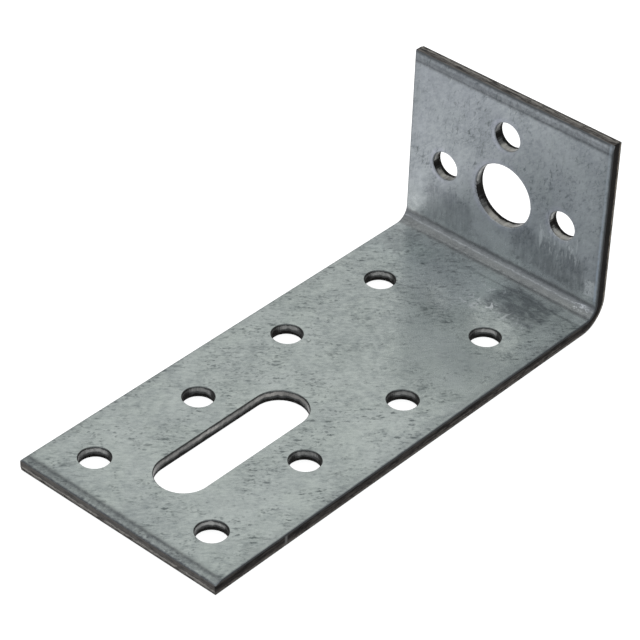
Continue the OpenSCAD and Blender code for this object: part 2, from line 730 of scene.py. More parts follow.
    def marked(self, g: Graph, base: CoatBase, colour: Socket) -> Socket:
        """Lay wrinkles on the coat, and a fine hatching on the upright.

        Args:
            g: the group's graph.
            base: the coat's shared places and masks.
            colour: the coat's colour.

        Returns:
            The colour with them.
        """
        ridge = g.line(g.noise(base.shaken, self.wrinkle), self.wrinkle_line)
        wrinkle = g.product(ridge, g.fade(base.cloud, self.wrinkle_cloud), base.crowd)
        colour = g.mix(g.product(wrinkle, self.wrinkles), colour, self.fleck)
        hatch = g.patches(base.shaken, self.hatch)
        hatch = g.product(hatch, base.upright, g.fade(base.crowd, self.hatch_crowd))
        return g.mix(g.product(hatch, self.hatches), colour, self.fleck)


@dataclass(frozen=True)
class Rub:
    """A rubbed patch on the inner face. Spans are in millimetres along and across the strip.

    Wander is how far its edges stray, fine is how tightly its streaks are drawn each way,
    and cover lets a pale patch cover more of its ground.
    """

    along: Span
    across: Span
    wander: float
    dark: float = 0.0
    pale: float = 0.0
    fine: Pair = (1.0, 1.0)
    cover: float = 0.0


@dataclass(frozen=True)
class Dish:
    """A hole of the upright that the sheet is dished round: its place and radius in millimetres."""

    along: float
    across: float
    radius: float


@dataclass(frozen=True)
class ShearedBand:
    """The band that the shears pressed beside an end, deepened as painted shade of its rolled-down curve,
    read by the distance to that end.
    """

    body: Fade
    body_share: float
    far_line: Line
    line_share: float
    lip: Fade
    lip_share: float

    def mask(self, g: Graph, reach: Socket, patches: Socket) -> Socket:
        """Make the band's mask.

        Args:
            g: the group's graph.
            reach: the distance to the end.
            patches: how strong the band is from place to place.

        Returns:
            The mask.
        """
        return g.total(
            (g.product(g.fade(reach, self.body), patches), self.body_share),
            (g.line(reach, self.far_line), self.line_share),
            (g.fade(reach, self.lip), self.lip_share),
        )


@dataclass(frozen=True)
class FaceBase:
    """Places and noises that the wear on the faces is made from."""

    place: Socket
    along: Socket
    across: Socket
    inner: Socket
    to_end: Socket
    side: Socket
    shake: Socket
    ragged: Socket
    worn_along: Socket


@dataclass(frozen=True)
class WearFinish:
    """What the fold, the shears and handling left on the faces, with painted light, shade and highlights.
    Lengths are in millimetres.
    """

    dark: Colour = (0.10, 0.112, 0.122)
    # Dark of pressed marks, deepened as painted shade in the fold and beside the sheared ends.
    pressed_mark_and_shade: Colour = (0.045, 0.050, 0.056)
    # Painted shade of the fold's bend.
    fold_painted_shade: Colour = (0.125, 0.125, 0.126)
    # Pale: the rubbed patches' own scuffs, and the fold's painted light and painted highlight.
    pale: Colour = (0.62, 0.65, 0.66)
    # Painted glint inside the upright's slit edge.
    painted_glint: Colour = (0.46, 0.53, 0.62)
    # Painted highlight round the upright's holes.
    painted_ring_highlight: Colour = (0.47, 0.475, 0.58)
    shake: Waves = Waves(0.55, 3.0, 0.6)
    ragged: Waves = Waves(1.7, 3.0, 0.65)
    along_shake: float = 0.7
    side_shake: float = 0.25

    # Bands and lines along the fold: painted light beside it, painted shade in the bend, the tool's dark
    # lines deepened as painted shade, and a painted highlight line
    fold_painted_light: Band = Band(-6.0, 4.0, 1.2)
    fold_painted_light_share: float = 0.19
    fold_shade_band: Band = Band(-2.1, 1.9, 0.45)
    fold_shade_share: float = 0.62
    fold_dark: tuple[tuple[Line, float], ...] = ((Line(1.16, 0.78), 0.48), (Line(-1.52, 0.68), 0.52))
    fold_dark_ragged: Fade = Fade(0.30, 0.55, 0.60, 1.0)
    faint_line: Line = Line(3.9, 0.42)
    faint_across: Fade = Fade(-6.0, 6.0, 0.10, 0.45)
    fold_highlight: Line = Line(-0.42, 0.30)
    fold_highlight_ragged: Fade = Fade(0.35, 0.60, 0.06, 0.38)
    fold_heights: Pair = (-0.45, 0.15)
    stretched: Band = Band(-4.4, 4.4, 1.6)
    stretched_ragged: Fade = Fade(0.34, 0.62, 0.30, 0.62)

    # Marks along the slit edges, with a painted glint along the upright's
    slit_shade: Fade = Fade(0.9, 2.3, 0.16, 0.0)
    slit_shade_across: Fade = Fade(-8.0, 8.0, 0.35, 1.0)
    slit_edge: Fade = Fade(0.14, 0.52, 1.0, 0.0)
    slit_edge_across: Fade = Fade(-8.0, 8.0, 0.36, 0.84)
    slit_edge_along: Fade = Fade(-8.0, 0.0, 0.94, 1.0)
    slit_line: Line = Line(0.95, 0.45)
    slit_line_share: float = 0.07
    glimmer_line: Line = Line(0.66, 0.34)
    glimmer_start: Fade = Fade(-1.5, -3.5)
    glimmer_end: Fade = Fade(-26.0, -6.0, 0.35, 1.0)
    glimmer_across: Fade = Fade(0.0, 1.0)
    glimmer_ragged: Fade = Fade(0.30, 0.60, 0.35, 0.85)

    # Painted highlight rings round the upright's holes
    dished: tuple[Dish, ...] = (
        Dish(-13.6, -0.4, 5.6),
        Dish(-13.6, -12.45, 2.5),
        Dish(-13.6, 11.65, 2.5),
        Dish(-24.8, -0.4, 2.5),
    )
    halo: Band = Band(0.10, 0.75, 0.35)
    halo_shake: float = 0.5
    halo_far: float = 0.22
    halo_ragged: Fade = Fade(0.32, 0.58, 0.35, 1.0)
    halo_share: float = 0.33

    # Rubbed patches
    rubs: tuple[Rub, ...] = (
        Rub((4.5, 15.5), (-9.0, 1.5), 3.0, pale=0.13, cover=0.30),
        Rub((2.6, 10.2), (4.4, 14.8), 3.5, dark=0.71, fine=(1.0, 0.40)),
        Rub((8.4, 11.4), (0.4, 7.6), 3.0, pale=0.80, fine=(0.9, 0.6)),
        Rub((4.0, 6.6), (1.2, 5.4), 2.5, pale=0.50, fine=(0.9, 0.7)),
        Rub((8.8, 11.6), (7.0, 14.6), 3.0, pale=0.40, fine=(0.60, 1.3)),
        Rub((3.0, 9.0), (-19.2, -14.0), 3.0, dark=0.40, fine=(0.9, 0.9)),
        Rub((-9.0, -2.6), (-16.0, -6.0), 4.0, dark=0.40, fine=(0.22, 1.2)),
        Rub((-9.6, -3.2), (2.4, 17.0), 4.0, dark=0.52, fine=(0.22, 1.2)),
        Rub((-12.6, -7.6), (7.4, 16.0), 3.0, pale=0.55, fine=(0.34, 1.7)),
        Rub((-6.2, -3.2), (17.2, 19.3), 1.0, pale=0.75, fine=(0.8, 1.2), cover=0.09),
        Rub((-1.0, 0.6), (16.0, 18.8), 0.8, pale=0.70, fine=(1.1, 0.9), cover=0.05),
    )
    rub_shake: Waves = Waves(0.35, 4.0, 0.65)
    rub_grain: Waves = Waves(1.0, 4.0, 0.65, 0.8)
    rub_soft: Pair = (0.2, 0.25)
    rub_broken: Fade = Fade(0.34, 0.58, 0.30, 1.0)
    rub_pale: Span = (0.50, 0.61)

    # Bands beside the sheared ends, deepened as painted shade
    sheared_patches: Fade = Fade(0.34, 0.64, 0.80, 1.14)
    leg_band: ShearedBand = ShearedBand(
        body=Fade(1.25, 2.35, 1.0, 0.0),
        body_share=0.56,
        far_line=Line(1.35, 0.50),
        line_share=0.20,
        lip=Fade(0.05, 0.42, 1.0, 0.0),
        lip_share=0.46,
    )
    top_band: ShearedBand = ShearedBand(
        body=Fade(1.75, 2.45, 1.0, 0.0),
        body_share=0.52,
        far_line=Line(1.75, 0.30),
        line_share=0.16,
        lip=Fade(0.12, 0.50, 1.0, 0.0),
        lip_share=0.72,
    )
    top_gap: Line = Line(0.72, 0.34)
    top_gap_share: float = 0.16
    past_top: Fade = Fade(-26.0, -24.0)

    def group(self) -> bpy.types.NodeTree:
        """Make the fold's lines, the sheared bands and the rubbed patches, with painted light, shade and
        highlights.

        Returns:
            The group. It takes the face's colour and gives it back worn, with painted light and shade.
        """
        numbers = {name: Sort.NUMBER for name in ("Inner", "End", "Side")}
        gives = {"Color": Sort.COLOUR, "Height": Sort.NUMBER}
        g, takes, end = new_group("face_wear", {"Color": Sort.COLOUR, "Place": Sort.VECTOR, **numbers}, gives)
        base = self.base(g, takes)
        darks = self.fold_darks(g, base)
        # Painted highlight line in the bend.
        pale = g.line(base.worn_along, self.fold_highlight)
        colour = self.folded(g, base, darks, pale, takes["Color"])
        colour = self.rubbed(g, base, colour)
        outside = g.product(
            g.rest(base.inner),
            g.within(base.worn_along, self.stretched),
            g.fade(base.ragged, self.stretched_ragged),
        )
        colour = g.mix(outside, colour, self.dark)
        # Sheared bands: pressed marks deepened as painted shade.
        colour = g.mix(g.product(self.sheared(g, base), base.inner), colour, self.pressed_mark_and_shade)
        # Painted glint inside the upright's slit edge.
        colour = g.mix(self.painted_slit_glint(g, base), colour, self.painted_glint)
        # Painted highlight round the upright's holes.
        colour = g.mix(self.painted_haloes(g, base), colour, self.painted_ring_highlight)
        g.feed_all(end, {
            "Color": g.mix(g.product(self.slit_marks(g, base), base.inner), colour, self.dark),
            "Height": g.product(base.inner, g.total(*zip((darks, pale), self.fold_heights))),
        })
        return g.tree

    def base(self, g: Graph, takes: dict[str, Socket]) -> FaceBase:
        """Read the places and noises that the wear shares.

        Args:
            g: the group's graph.
            takes: the group's inputs by name.

        Returns:
            The places and noises.
        """
        place = takes["Place"]
        along, across, _ = g.split(place)
        shake = g.centred(g.noise(place, self.shake))
        return FaceBase(
            place=place,
            along=along,
            across=across,
            inner=takes["Inner"],
            to_end=takes["End"],
            side=g.shaken(takes["Side"], shake, self.side_shake),
            shake=shake,
            ragged=g.noise(place, self.ragged),
            worn_along=g.shaken(along, shake, self.along_shake),
        )

    def fold_darks(self, g: Graph, base: FaceBase) -> Socket:
        """Make a mask of the dark lines that the fold's tool pressed across the strip, deepened as painted
        shade in the bend.

        Args:
            g: the group's graph.
            base: the wear's shared places and noises.

        Returns:
            The mask.
        """
        first, second = (g.product(g.line(base.worn_along, line), share) for line, share in self.fold_dark)
        faint = g.product(g.line(base.worn_along, self.faint_line), g.fade(base.across, self.faint_across))
        return g.larger(g.larger(first, second), faint)

    def folded(self, g: Graph, base: FaceBase, darks: Socket, pale: Socket, colour: Socket) -> Socket:
        """Lay the fold's painted light band, painted shade band, dark lines (tool marks deepened as painted
        shade) and painted highlight line on the inner face.

        Args:
            g: the group's graph.
            base: the wear's shared places and noises.
            darks: mask of the dark lines.
            pale: mask of the painted highlight line.
            colour: the face's colour.

        Returns:
            The colour with them.
        """
        # Painted light beside the fold.
        beside = g.within(base.worn_along, self.fold_painted_light)
        colour = g.mix(g.product(beside, base.inner, self.fold_painted_light_share), colour, self.pale)
        # Painted shade of the bend.
        band = g.within(base.worn_along, self.fold_shade_band)
        colour = g.mix(g.product(band, base.inner, self.fold_shade_share), colour, self.fold_painted_shade)
        # Dark tool lines, deepened as painted shade.
        darks = g.product(darks, base.inner, g.fade(base.ragged, self.fold_dark_ragged))
        # Painted highlight line.
        pale = g.product(pale, base.inner, g.fade(base.ragged, self.fold_highlight_ragged))
        return g.mix(pale, g.mix(darks, colour, self.pressed_mark_and_shade), self.pale)

    def rubbed(self, g: Graph, base: FaceBase, colour: Socket) -> Socket:
        """Darken and streak the rubbed patches.

        Args:
            g: the group's graph.
            base: the wear's shared places and noises.
            colour: the face's colour.

        Returns:
            The rubbed colour.
        """
        shake = g.centred(g.noise(base.place, self.rub_shake))
        soft_along, soft_across = self.rub_soft
        for rub in self.rubs:
            drawn = g.noise(g.laid(base.place, Lay(*rub.fine)), self.rub_grain)
            along = g.shaken(base.along, shake, rub.wander)
            across = g.shaken(base.across, shake, -rub.wander)
            patch = g.product(
                g.within(along, Band(*rub.along, soft_along * rub.wander)),
                g.within(across, Band(*rub.across, soft_across * rub.wander)),
                base.inner,
            )
            if rub.dark:
                dark = g.product(patch, g.fade(drawn, self.rub_broken), rub.dark)
                colour = g.mix(dark, colour, self.dark)
            if rub.pale:
                low, high = (end - rub.cover for end in self.rub_pale)
                colour = g.mix(g.product(patch, g.ramp(drawn, low, high), rub.pale), colour, self.pale)
        return colour

    def sheared(self, g: Graph, base: FaceBase) -> Socket:
        """Make a mask of the bands beside the sheared ends, pressed marks deepened as painted shade. The
        upright's end has a wider one.

        Args:
            g: the group's graph.
            base: the wear's shared places and noises.

        Returns:
            The mask.
        """
        reach = g.shaken(base.to_end, base.shake, self.side_shake)
        patches = g.fade(base.ragged, self.sheared_patches)
        leg = self.leg_band.mask(g, reach, patches)
        gap = g.product(g.line(reach, self.top_gap), self.top_gap_share)
        top = g.less(self.top_band.mask(g, reach, patches), gap)
        return g.between(g.fade(base.along, self.past_top), top, leg)

    def painted_slit_glint(self, g: Graph, base: FaceBase) -> Socket:
        """Make a mask of the painted glint, a bright thin line inside the upright's slit edge.

        Args:
            g: the group's graph.
            base: the wear's shared places and noises.

        Returns:
            The mask.
        """
        low = g.product(
            g.fade(base.along, self.glimmer_start),
            g.fade(base.along, self.glimmer_end),
            g.fade(base.across, self.glimmer_across),
        )
        bright = g.product(g.line(base.side, self.glimmer_line), low, base.inner)
        return g.product(bright, g.fade(base.ragged, self.glimmer_ragged))

    def painted_haloes(self, g: Graph, base: FaceBase) -> Socket:
        """Make a mask of the painted highlight where the sheet is dished round each hole of the upright.

        Args:
            g: the group's graph.
            base: the wear's shared places and noises.

        Returns:
            The mask, stronger on one side of each hole.
        """
        flat = g.scaled(base.place, (1.0, 1.0, 0.0))
        answer: Feed = 0.0
        for dish in self.dished:
            reach = g.vectors(Sum.APART, flat, (dish.along, dish.across, 0.0)).outputs["Value"]
            past = g.total((reach, 1.0), (1.0, -dish.radius), (base.shake, self.halo_shake))
            low, high = dish.across - dish.radius, dish.across + dish.radius
            one_way = g.ramp(base.across, low, high, 1.0, self.halo_far)
            answer = g.larger(answer, g.product(g.within(past, self.halo), one_way))
        return g.product(answer, base.inner, g.fade(base.ragged, self.halo_ragged), self.halo_share)

    def slit_marks(self, g: Graph, base: FaceBase) -> Socket:
        """Make a mask of the dark edge, faint line and soft shade along the slit edges.

        Args:
            g: the group's graph.
            base: the wear's shared places and noises.

        Returns:
            The mask.
        """
        shade = g.product(g.fade(base.side, self.slit_shade), g.fade(base.across, self.slit_shade_across))
        edge = g.product(g.fade(base.side, self.slit_edge), g.fade(base.across, self.slit_edge_across))
        edge = g.product(edge, g.fade(base.along, self.slit_edge_along))
        return g.total((shade, 1.0), (g.line(base.side, self.slit_line), self.slit_line_share), (edge, 1.0))


@dataclass(frozen=True)
class WallBase:
    """Places, noises and masks that the cut walls are made from."""

    along: Socket
    across: Socket
    depth: Socket
    level: Socket
    place: Socket
    on_leg: Socket
    on_upright: Socket
    drag: Socket
    layers: Socket
    broken: Socket
    wobble: Socket
    torn: Socket
    flank: Socket


@dataclass(frozen=True)
class CutFinish:
    """Bare steel where the sheet was pierced, sheared and slit. Lengths are in millimetres."""

    pierced_smooth: Colour = (0.040, 0.042, 0.042)
    # Smeared band of the wall, painted light as a glint.
    pierced_smear_glint: Colour = (0.32, 0.325, 0.315)
    # Torn zone, also used as painted shade on set sides of the holes.
    pierced_torn_and_shade: Colour = (0.014, 0.013, 0.012)
    # Painted light on hole bottoms that look up.
    painted_lit_bottom: Colour = (0.36, 0.355, 0.33)
    sheared_smooth: Colour = (0.040, 0.036, 0.033)
    sheared_torn: Colour = (0.205, 0.195, 0.18)
    # Smeared band of the slot's wall, painted light as a glint.
    slot_smear_glint: Colour = (0.300, 0.292, 0.276)
    slit_smooth: Colour = (0.010, 0.009, 0.008)
    slit_torn: Colour = (0.120, 0.108, 0.096)
    slit_outer: Colour = (0.34, 0.30, 0.24)
    line: Colour = (0.008, 0.007, 0.007)
    nick: Colour = (0.15, 0.15, 0.145)

    # What all cut walls share
    on_leg: Fade = Fade(-2.0, 2.0)
    way_in: Fade = Fade(-2.0, 2.0, -1.0, 1.0)
    drag: Waves = Waves(1.0, 3.0, 0.6, lay=Lay(1.5, 1.5, deep=0.22))
    layers: Patches = Patches(Waves(1.0, 4.0, 0.7, lay=Lay(0.28, 0.28, deep=2.8)), Fade(0.42, 0.60))
    broken: Waves = Waves(1.1, 3.0, 0.6)
    wobble: float = 0.8
    torn: Span = (-0.10, 0.22)
    at_outline: Fade = Fade(0.10, 0.30, 1.0, 0.0)

    # Walls of the holes and the slot: a smeared band painted light as a glint, painted shade on set sides of
    # the holes, painted light on the upright's hole bottoms
    glint: Band = Band(1.06, 1.68, 0.13)
    glint_drag: Fade = Fade(0.34, 0.62, 0.62, 1.0)
    glint_worked: Patches = Patches(Waves(0.13, 1.0), Fade(0.36, 0.62, 0.55, 1.0))
    glint_gaps: Patches = Patches(
        Waves(1.0, 2.0, 0.6, lay=Lay(0.30, 0.30, deep=0.25)), Fade(0.42, 0.56, 0.10, 1.0)
    )
    leg_glint: float = 0.9
    slot_half: Fade = Fade(5.5, 7.5, 1.0, 0.0)
    rise_shake: float = 0.25
    lit_bottom: Fade = Fade(0.60, 1.02)
    bottom_depth: Fade = Fade(0.5, 0.9)
    bottom_drag: Fade = Fade(0.36, 0.60, 0.45, 1.0)
    bottom_share: float = 0.85
    black_rise: Band = Band(0.10, 0.58, 0.14)
    black_share: float = 0.95
    flank_shake: float = 0.3
    near_flank: Fade = Fade(0.32, 0.78)
    near_depth: Fade = Fade(1.2, 1.6, 1.0, 0.6)
    near_along: Fade = Fade(56.0, 76.0, 1.0, 0.35)
    far_flank: Fade = Fade(-0.92, -0.60, 1.0, 0.0)
    far_share: float = 0.85
    flank_shade_share: float = 0.96

    # Sheared ends
    sheared_drag: Fade = Fade(0.40, 0.62)
    sheared_shares: Pair = (0.40, 0.14)
    sheared_leg: float = 0.75
    strip: Span = (0.12, 0.34)
    strip_line: Line = Line(0.40, 0.16)
    strip_broken: Fade = Fade(0.42, 0.56)
    strip_share: float = 0.8

    # Slit edges
    slit_layers: Pair = (0.05, 0.40)
    slit_broken: Fade = Fade(0.35, 0.55, 0.45, 1.0)
    seam: Band = Band(0.80, 1.12, 0.12)
    seam_start: Fade = Fade(3.0, 14.0)
    seam_end: Fade = Fade(20.0, 60.0, 1.0, 0.3)
    seam_drag: Fade = Fade(0.34, 0.60, 0.35, 0.85)
    outer_line: Band = Band(0.16, 0.42, 0.10)
    outer_share: float = 0.8

    # Cracks, arrises and the nick on the outline
    crack: Patches = Patches(Waves(1.0, 3.0, 0.65, lay=Lay(0.50, 0.50, deep=3.4)), Fade(0.50, 0.60))
    crack_depth: Band = Band(0.15, 1.5, 0.15)
    crack_share: float = 0.85
    outer_arris: Fade = Fade(0.02, 0.22, 0.9, 0.0)
    end_arris: Fade = Fade(0.10, 0.42, 0.75, 0.0)
    nick_line: Line = Line(75.2, 0.45)
    nick_across: Fade = Fade(0.0, 1.0)
    nick_depth: Fade = Fade(0.3, 0.6)
    rough: Pair = (0.34, 0.92)
    height_shares: Pair = (0.5, 0.8)

    def group(self, shape: StripShape) -> bpy.types.NodeTree:
        """Make the smooth and torn zones of a cut wall, with a painted glint, painted shade on set sides of
        the holes and painted light on their bottoms.

        Args:
            shape: the strip's sizes.

        Returns:
            The group.
        """
        gives = {"Color": Sort.COLOUR, "Roughness": Sort.NUMBER, "Height": Sort.NUMBER}
        numbers = {name: Sort.NUMBER for name in ("End", "Side", "Flank")}
        g, takes, end = new_group("cut_wall", {"Place": Sort.VECTOR, **numbers}, gives)
        base = self.base(g, takes, shape)
        at_end = g.fade(takes["End"], self.at_outline)
        at_side = g.fade(takes["Side"], self.at_outline)
        _, _, rise = g.split(g.node("NewGeometry").outputs["True Normal"])
        rise = g.shaken(rise, g.centred(base.broken), self.rise_shake)
        # Painted shade on one side of the upright's hole walls, by the way they face.
        black = g.product(base.on_upright, g.within(rise, self.black_rise))
        in_slot = g.product(base.on_leg, g.fade(g.size(base.across), self.slot_half))
        # Painted shade on set sides of the leg's hole walls.
        flank = self.flank(g, base, in_slot)
        pierced = self.pierced(g, base, in_slot, flank, black, rise)
        colour = g.mix(at_end, pierced, self.sheared(g, base, shape))
        colour = g.mix(at_side, colour, self.slit(g, base))
        colour = self.outlined(g, base, at_end, at_side, colour)
        rough = g.larger(g.larger(base.torn, at_side), g.larger(flank, black))
        heights = (base.drag, g.product(base.torn, base.broken))
        g.feed_all(end, {
            "Color": colour,
            "Roughness": g.between(rough, *self.rough),
            "Height": g.total(*zip(heights, self.height_shares)),
        })
        return g.tree

    def base(self, g: Graph, takes: dict[str, Socket], shape: StripShape) -> WallBase:
        """Read the places, noises and masks that the cut walls share.

        Args:
            g: the group's graph.
            takes: the group's inputs by name.
            shape: the strip's sizes.

        Returns:
            The places, noises and masks.
        """
        along, across, depth = g.split(takes["Place"])
        on_leg = g.fade(along, self.on_leg)
        level = g.plus(along, g.product(depth, g.fade(along, self.way_in)))
        place = g.combine(level, across, depth)
        broken = g.noise(place, self.broken)
        wobble = g.shaken(depth, g.centred(broken), self.wobble)
        low, high = (shape.torn + past for past in self.torn)
        return WallBase(
            along=along,
            across=across,
            depth=depth,
            level=level,
            place=place,
            on_leg=on_leg,
            on_upright=g.rest(on_leg),
            drag=g.noise(place, self.drag),
            layers=g.patches(place, self.layers),
            broken=broken,
            wobble=wobble,
            torn=g.ramp(wobble, low, high, 1.0, 0.0),
            flank=takes["Flank"],
        )

    def flank(self, g: Graph, base: WallBase, in_slot: Socket) -> Socket:
        """Make a mask of the painted shade on two opposite sides of the leg's round holes, set by one fixed
        way.

        Args:
            g: the group's graph.
            base: the walls' shared places and masks.
            in_slot: 1 on the slot's wall.

        Returns:
            The mask.
        """
        sideways = g.shaken(base.flank, g.centred(base.broken), self.flank_shake)
        near = g.product(
            g.fade(sideways, self.near_flank),
            g.fade(base.wobble, self.near_depth),
            g.fade(base.along, self.near_along),
        )
        far = g.product(g.fade(sideways, self.far_flank), self.far_share)
        return g.product(base.on_leg, g.rest(in_slot), g.larger(near, far))

    def pierced(
        self, g: Graph, base: WallBase, in_slot: Socket, flank: Socket, black: Socket, rise: Socket
    ) -> Socket:
        """Make the colour of the holes' and the slot's walls, with a painted glint, painted shade on set
        sides and painted light on the upright's hole bottoms.

        Args:
            g: the group's graph.
            base: the walls' shared places and masks.
            in_slot: 1 on the slot's wall.
            flank: mask of the painted shade on set sides of the leg's holes.
            black: mask of the painted shade on one side of the upright's holes.
            rise: how far the wall looks up.

        Returns:
            The colour.
        """
        gaps = g.between(base.on_leg, g.patches(base.place, self.glint_gaps), self.leg_glint)
        worked = g.patches(base.place, self.glint_worked)
        # Smeared band painted light as a glint.
        shine = g.product(g.within(base.wobble, self.glint), g.fade(base.drag, self.glint_drag), worked, gaps)
        # Painted light on the upright's hole bottoms that look up.
        lit_bottom = g.product(base.on_upright, g.fade(rise, self.lit_bottom), g.fade(base.wobble, self.bottom_depth))
        lit_bottom = g.product(lit_bottom, g.fade(base.drag, self.bottom_drag))
        colour = g.mix(shine, self.pierced_smooth, g.mix(in_slot, self.pierced_smear_glint, self.slot_smear_glint))
        # Painted shade on set sides of the holes.
        colour = g.mix(g.product(flank, self.flank_shade_share), colour, self.pierced_torn_and_shade)
        colour = g.mix(g.product(black, self.black_share), colour, self.pierced_torn_and_shade)
        colour = g.mix(g.product(lit_bottom, self.bottom_share), colour, self.painted_lit_bottom)
        return g.mix(base.torn, colour, self.pierced_torn_and_shade)

    def sheared(self, g: Graph, base: WallBase, shape: StripShape) -> Socket:
        """Make the colour of the two sheared ends.

        Args:
            g: the group's graph.
            base: the walls' shared places and masks.
            shape: the strip's sizes.

        Returns:
            The colour.
        """
        low, high = (shape.torn + past for past in self.strip)
        gap = g.product(
            g.line(base.wobble, self.strip_line), g.fade(base.broken, self.strip_broken), self.strip_share
        )
        strip = g.less(g.ramp(base.wobble, low, high, 1.0, 0.0), gap)
        streaks = (base.layers, g.fade(base.drag, self.sheared_drag))
        colour = g.mix(g.total(*zip(streaks, self.sheared_shares)), self.sheared_smooth, self.sheared_torn)
        colour = g.mix(g.product(base.on_leg, self.sheared_leg), colour, self.sheared_smooth)
        return g.mix(strip, colour, self.sheared_torn)

    def slit(self, g: Graph, base: WallBase) -> Socket:
        """Make the colour of the two slit edges.

        Args:
            g: the group's graph.
            base: the walls' shared places and masks.

        Returns:
            The colour.
        """
        layers = g.product(base.layers, g.between(base.on_leg, *self.slit_layers))
        colour = g.mix(layers, self.slit_smooth, self.slit_torn)
        torn = g.product(base.torn, g.fade(base.broken, self.slit_broken))
        colour = g.mix(torn, colour, self.slit_torn)
        seam = g.product(
            g.within(base.wobble, self.seam),
            g.fade(base.along, self.seam_start),
            g.fade(base.along, self.seam_end),
        )
        colour = g.mix(g.product(seam, g.fade(base.drag, self.seam_drag)), colour, self.slit_torn)
        outer = g.product(g.within(base.wobble, self.outer_line), base.on_upright)
        return g.mix(g.product(outer, self.outer_share), colour, self.slit_outer)

    def outlined(self, g: Graph, base: WallBase, at_end: Socket, at_side: Socket, colour: Socket) -> Socket:
        """Lay cracks, dark arrises and a small nick on the walls of the strip's outline.

        Args:
            g: the group's graph.
            base: the walls' shared places and masks.
            at_end: 1 on the sheared ends.
            at_side: 1 on the slit edges.
            colour: the walls' colour.

        Returns:
            The colour with them.
        """
        crack = g.product(g.patches(base.place, self.crack), g.within(base.depth, self.crack_depth))
        outside = g.larger(at_end, at_side)
        colour = g.mix(g.product(outside, crack, self.crack_share), colour, self.line)
        colour = g.mix(g.fade(base.depth, self.outer_arris), colour, self.line)
        end_arris = g.product(at_end, g.fade(base.depth, self.end_arris))
        colour = g.mix(end_arris, colour, self.sheared_smooth)
        nick = g.product(
            at_side,
            g.line(base.level, self.nick_line),
            g.fade(base.across, self.nick_across),
            g.fade(base.depth, self.nick_depth),
        )
        return g.mix(nick, colour, self.nick)


@dataclass(frozen=True)
class BracketLook:
    """Dresses the bracket's own solid in its zinc coat and its bare cut walls."""

    shape: StripShape
    zinc: ZincFinish = ZincFinish()
    wear: WearFinish = WearFinish()
    cut: CutFinish = CutFinish()
    cut_facing: Fade = Fade(0.25, 0.50, 1.0, 0.0)
    # Painted highlight and painted shade on the rolled rims of the holes and the outline.
    rim_painted_highlight: Colour = (0.52, 0.55, 0.54)
    rim_highlight_facing: Line = Line(0.93, 0.06)
    rim_highlight_along: Fade = Fade(-4.0, 0.0, 0.40, 0.0)
    rim_painted_shade: Colour = (0.020, 0.019, 0.018)
    rim_shade_facing: Band = Band(0.30, 0.93, 0.05)
    rim_matt: float = 0.40
    outline_rim: float = 0.74
    outline_reach: Span = (0.7, 1.1)
    leg_rim: Fade = Fade(0.20, 0.65, 0.62, 0.97)
    leg_start: Span = (-4.0, 0.0)
    upright_rim: float = 0.22
    cut_metallic: float = 0.75
    specular: float = 0.25
    relief: float = 0.05 * MM
    relief_strength: float = 0.5

    def rim(self, g: Graph, past_heel: Socket, flank: Socket, to_outline: Socket) -> Socket:
        """Say how dark the rolled rim's painted shade is: by hole, by flank, darker on two opposite sides of
        the leg's holes, and by outline.

        Args:
            g: the material's graph.
            past_heel: how far past the heel along the strip.
            flank: how far the surface turns to one fixed side.
            to_outline: distance to the strip's outline.

        Returns:
            The rim's share of the painted shade.
        """
        leg_rim = g.fade(g.size(flank), self.leg_rim)
        hole_rim = g.ramp(past_heel, *self.leg_start, self.upright_rim, leg_rim)
        return g.ramp(to_outline, *self.outline_reach, self.outline_rim, hole_rim)

    def material(self) -> bpy.types.Material:
        """Make the bracket's one material.

        Returns:
            The material.
        """
        made = bpy.data.materials.new("zinc_sheet")
        made.use_nodes = True
        made.node_tree.nodes.clear()
        g = Graph(made.node_tree)
        where = g.use(self.shape.place_group()).outputs
        place, inner = where["Place"], where["Inner"]
        outline = {"End": where["End"], "Side": where["Side"]}
        coat = g.use(self.zinc.group(), Place=place).outputs
        worn = g.use(self.wear.group(), Color=coat["Color"], Place=place, Inner=inner, **outline).outputs
        wall = g.use(self.cut.group(self.shape), Place=place, Flank=where["Flank"], **outline).outputs
        facing = where["Facing"]
        is_cut = g.fade(facing, self.cut_facing)
        past_heel, _, _ = g.split(place)
        # Painted highlight on the rolled rim's flatter part.
        pale = g.product(g.line(facing, self.rim_highlight_facing), g.fade(past_heel, self.rim_highlight_along))
        rim = self.rim(g, past_heel, where["Flank"], g.smaller(outline["End"], outline["Side"]))
        # Painted shade on the rolled rim's steeper part.
        dark = g.product(g.within(facing, self.rim_shade_facing), rim)
        rolled = g.mix(dark, g.mix(pale, worn["Color"], self.rim_painted_highlight), self.rim_painted_shade)
        rim_rough = g.total((coat["Roughness"], 1.0), (dark, self.rim_matt))
        relief = g.node("Bump")
        g.feed_all(relief, {
            "Distance": self.relief,
            "Strength": self.relief_strength,
            "Height": g.between(is_cut, g.plus(coat["Height"], worn["Height"]), wall["Height"]),
        })
        shader = g.node("BsdfPrincipled")
        g.feed_all(shader, {
            "Specular IOR Level": self.specular,
            "Base Color": g.mix(is_cut, rolled, wall["Color"]),
            "Roughness": g.between(is_cut, rim_rough, wall["Roughness"]),
            "Metallic": g.between(is_cut, self.zinc.metallic, self.cut_metallic),
            "Normal": relief.outputs["Normal"],
        })
        g.feed(g.node("OutputMaterial").inputs["Surface"], shader.outputs[0])
        return made

    def dress(self, solid: bpy.types.Object) -> None:
        """Put the material on the solid.

        Args:
            solid: the bracket's object.
        """
        made = self.material()
        for slot in solid.material_slots:
            slot.material = made


